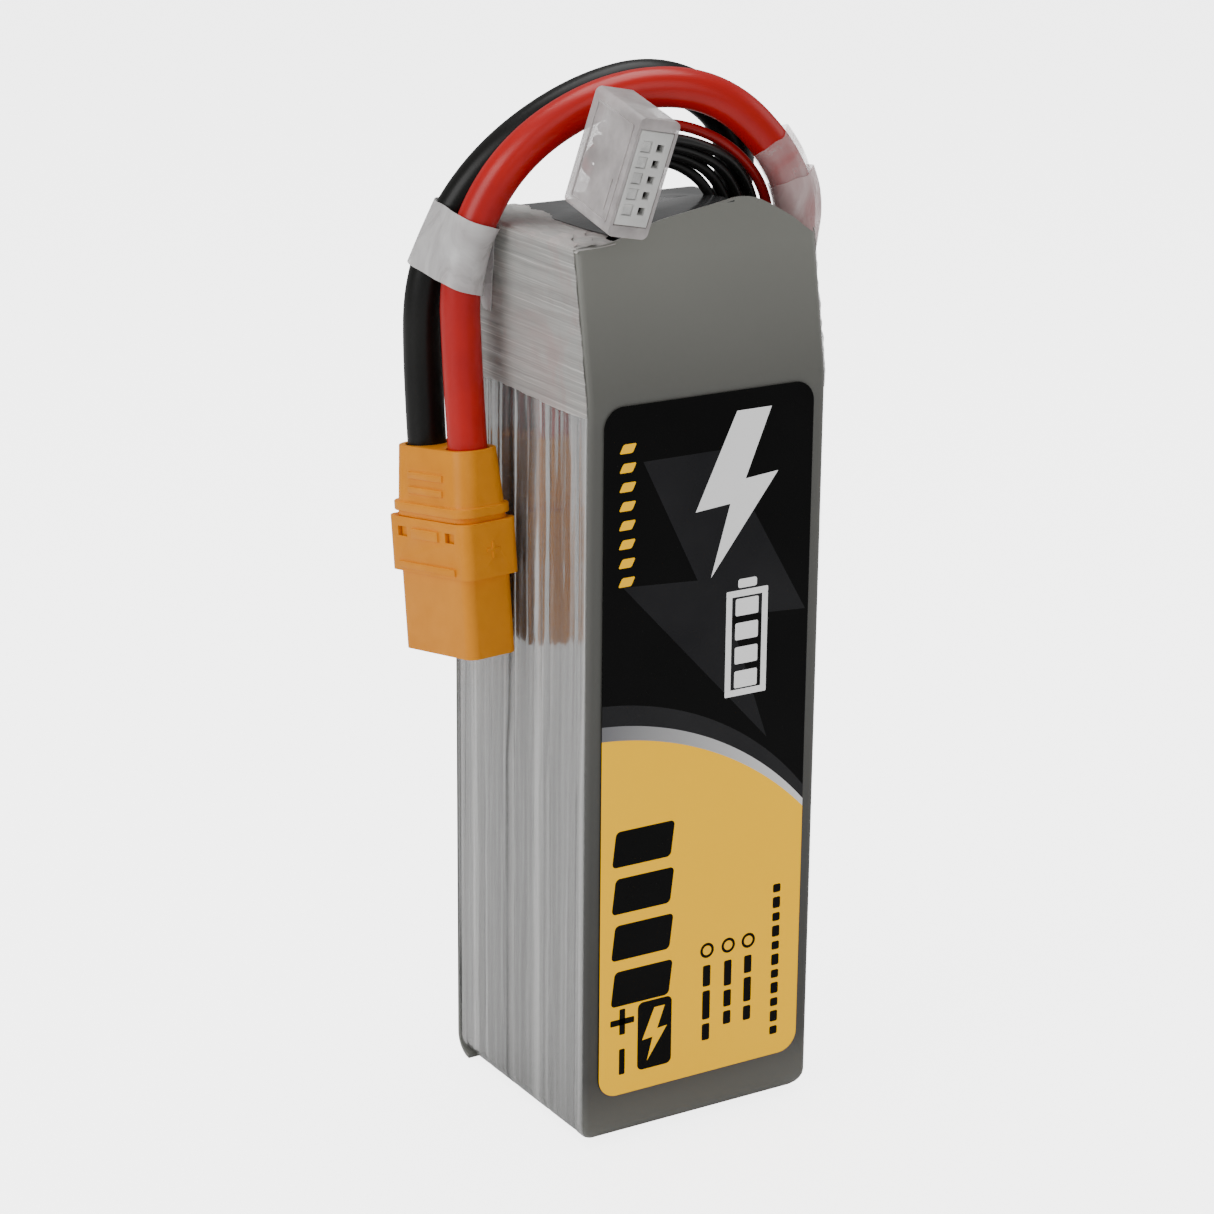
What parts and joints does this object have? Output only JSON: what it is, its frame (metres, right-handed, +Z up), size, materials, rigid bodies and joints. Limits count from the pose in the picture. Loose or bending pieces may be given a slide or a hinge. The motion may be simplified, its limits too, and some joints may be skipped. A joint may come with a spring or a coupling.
{
  "type": "lithium polymer battery pack",
  "caption": "Shrink-wrapped soft-case battery pack of stacked pouch cells, with taped end, power leads to a two-pole plug with a sliding cover, and a balance plug in a clip.",
  "frame": {"origin": "centre of the pack's lower end, on the surface that it stands on, midway between the label and the back card", "axes": "+Z up the pack towards its taped end, -Y out of the label, +X towards the side where the leads enter the end, -X towards the side beside which the main plug hangs"},
  "size_m": [0.0626, 0.0535, 0.175],
  "materials": {
    "silver_pouch": "crinkled laminated foil, satin",
    "aluminium_tab": "rolled strip",
    "nickel_tab": "rolled nickel strip",
    "white_foam": "thin closed-cell foam",
    "board_foam": "thin closed-cell foam",
    "green_board": "glass-fibre circuit board",
    "grey_card": "satin grey sheet",
    "dark_board": "dark smooth sheet",
    "dark_foam": "dark film over foam",
    "clear_film": "clear shrink film with wrinkles",
    "printed_label": "glossy printed label in black, grey and yellow",
    "fibre_tape": "translucent tape with straight fibres",
    "amber_nylon": "moulded nylon, satin",
    "gold_contact": "gold plated",
    "red_silicone": "satin silicone insulation",
    "black_silicone": "satin silicone insulation",
    "clear_tape": "translucent wrapping tape",
    "red_wire": "satin wire insulation",
    "black_wire": "satin wire insulation",
    "tinned_contact": "tin plated",
    "white_nylon": "moulded nylon",
    "milky_plastic": "translucent milky moulding"
  },
  "bodies": {
    "pack": {"back_card": "grey_card", "balance_board": "green_board", "balance_contact_1": "tinned_contact", "balance_contact_2": "tinned_contact", "balance_contact_3": "tinned_contact", "balance_contact_4": "tinned_contact", "balance_contact_5": "tinned_contact", "balance_plug_housing": "white_nylon", "balance_wire_1": "red_wire", "balance_wire_2": "black_wire", "balance_wire_3": "black_wire", "balance_wire_4": "black_wire", "balance_wire_5": "black_wire", "base_card": "grey_card", "black_power_lead": "black_silicone", "board_insulator": "board_foam", "board_terminal_negative": "gold_contact", "board_terminal_positive": "gold_contact", "cell_1": "silver_pouch", "cell_1_tab_negative": "nickel_tab", "cell_1_tab_positive": "aluminium_tab", "cell_2": "silver_pouch", "cell_2_tab_negative": "nickel_tab", "cell_2_tab_positive": "aluminium_tab", "cell_3": "silver_pouch", "cell_3_tab_negative": "nickel_tab", "cell_3_tab_positive": "aluminium_tab", "cell_4": "silver_pouch", "cell_4_tab_negative": "nickel_tab", "cell_4_tab_positive": "aluminium_tab", "cell_pad_1": "white_foam", "cell_pad_2": "white_foam", "cell_pad_3": "white_foam", "end_pad": "dark_foam", "end_plate": "dark_board", "fibre_tape": "fibre_tape", "front_card": "grey_card", "front_foam": "white_foam", "front_label": "printed_label", "lead_tape": "clear_tape", "main_plug_contact_negative": "gold_contact", "main_plug_contact_positive": "gold_contact", "main_plug_housing": "amber_nylon", "red_lead_tape": "clear_tape", "red_power_lead": "red_silicone", "shrink_sleeve": "clear_film"},
    "plug_cover": {"main_plug_cover": "amber_nylon"},
    "balance_clip": {"balance_clip": "milky_plastic"}
  },
  "joints": [
    {"name": "cover_slide", "type": "slide", "parent": "pack", "child": "plug_cover", "axis": [0, 0.1288, 0.9917], "range_m": [0, 0.008]},
    {"name": "clip_slide", "type": "slide", "parent": "pack", "child": "balance_clip", "axis": [-0.0404, -0.9781, -0.2039], "range_m": [0, 0.015]}
  ]
}
